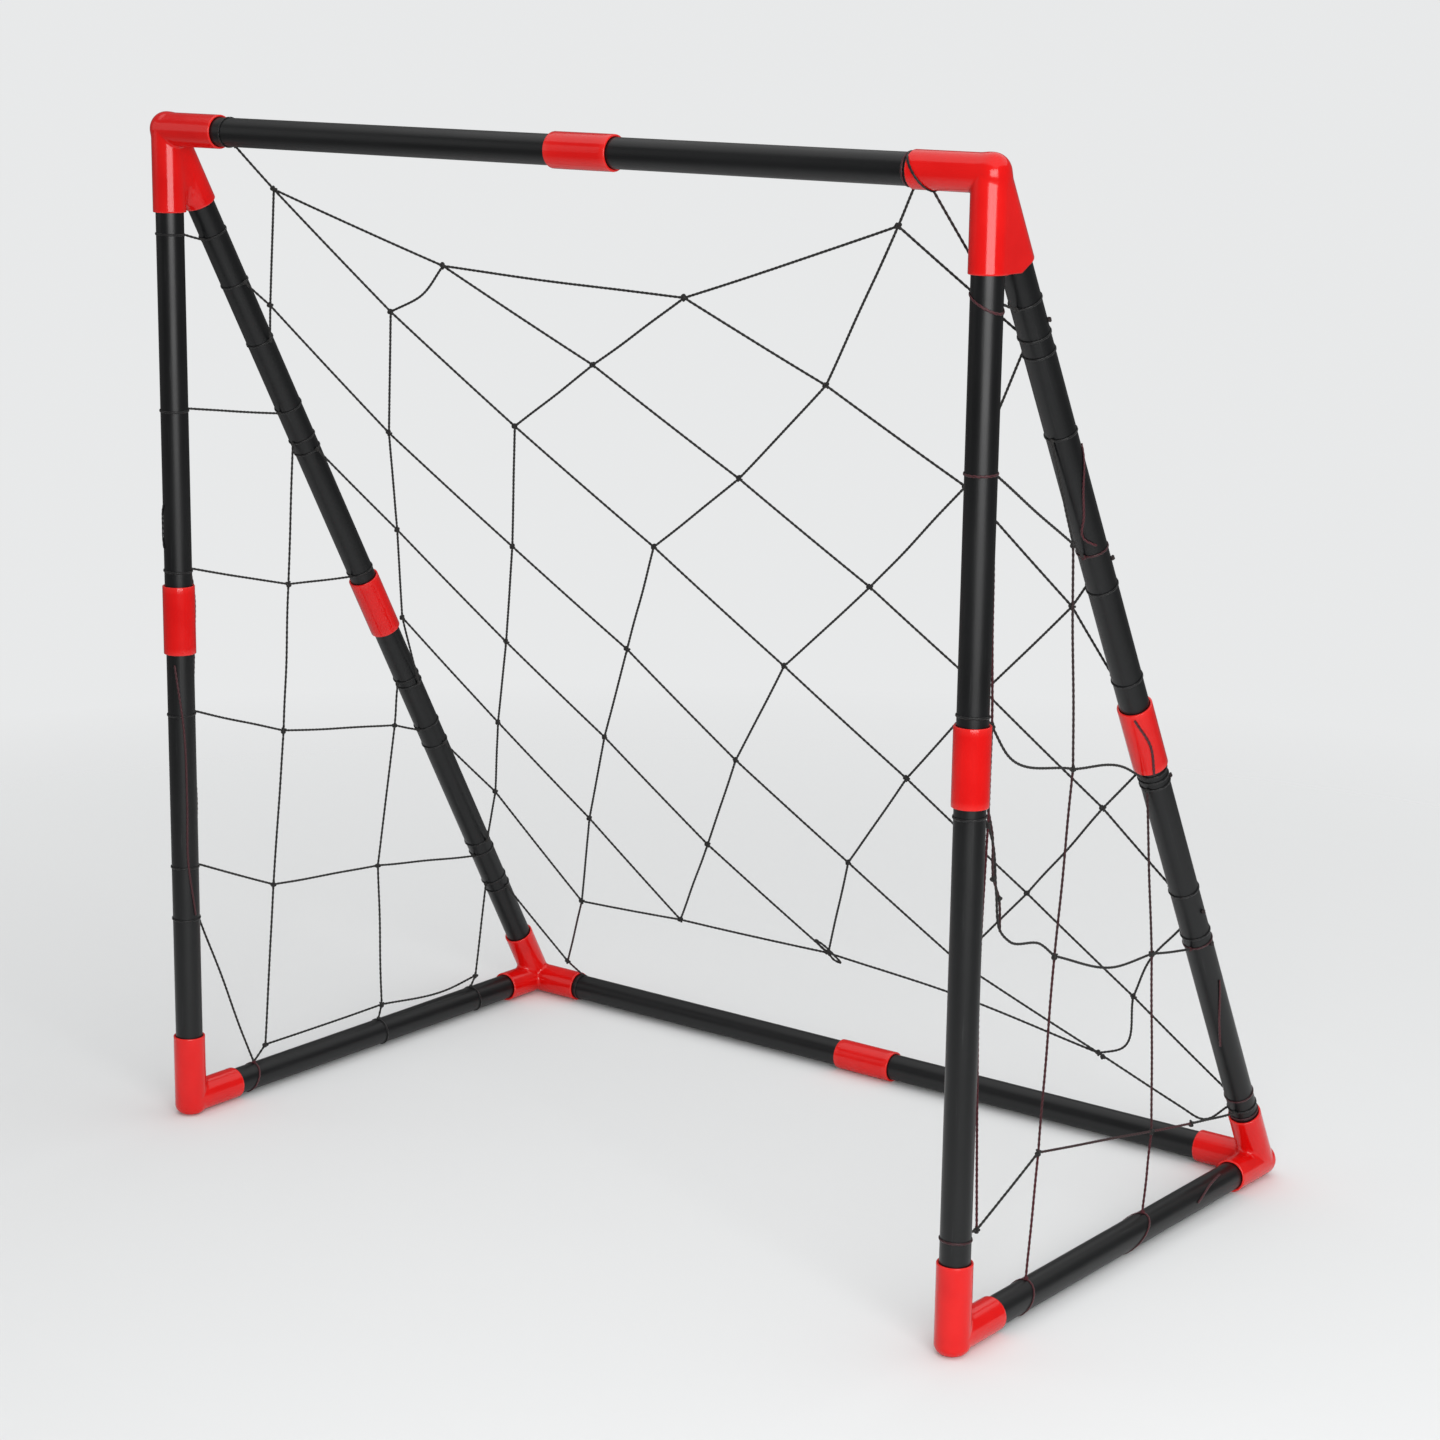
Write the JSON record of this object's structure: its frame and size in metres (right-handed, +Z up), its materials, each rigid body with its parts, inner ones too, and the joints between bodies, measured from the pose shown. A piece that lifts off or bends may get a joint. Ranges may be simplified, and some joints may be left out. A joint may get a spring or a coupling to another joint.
{
  "type": "mini soccer goal",
  "caption": "Small wedge-shaped soccer goal: black plastic tubes pushed into red corner and straight connectors, with a knotted net tied to the posts, stays and ground bars.",
  "frame": {"origin": "on the ground, under the middle of the frame, half way between the posts and the rear bar", "axes": "+X right as seen by a player facing the mouth, +Y from the mouth into the net, +Z up"},
  "size_m": [0.8892, 0.5302, 0.93],
  "materials": {
    "tube_black": "satin",
    "connector_red": "semi-gloss moulded",
    "net_black": "matt twisted cord"
  },
  "bodies": {
    "root": {"crossbar_left": "tube_black", "crossbar_right": "tube_black", "post_upper_left": "tube_black", "post_upper_right": "tube_black", "post_lower_left": "tube_black", "post_lower_right": "tube_black", "stay_upper_left": "tube_black", "stay_upper_right": "tube_black", "stay_lower_left": "tube_black", "stay_lower_right": "tube_black", "ground_bar_left": "tube_black", "ground_bar_right": "tube_black", "rear_bar_left": "tube_black", "rear_bar_right": "tube_black", "top_corner_left": "connector_red", "top_corner_right": "connector_red", "front_elbow_left": "connector_red", "front_elbow_right": "connector_red", "rear_corner_left": "connector_red", "rear_corner_right": "connector_red", "crossbar_coupler": "connector_red", "post_coupler_left": "connector_red", "post_coupler_right": "connector_red", "stay_coupler_left": "connector_red", "stay_coupler_right": "connector_red", "rear_bar_coupler": "connector_red", "net_back": "net_black", "net_side_left": "net_black", "net_side_right": "net_black"}
  },
  "joints": []
}
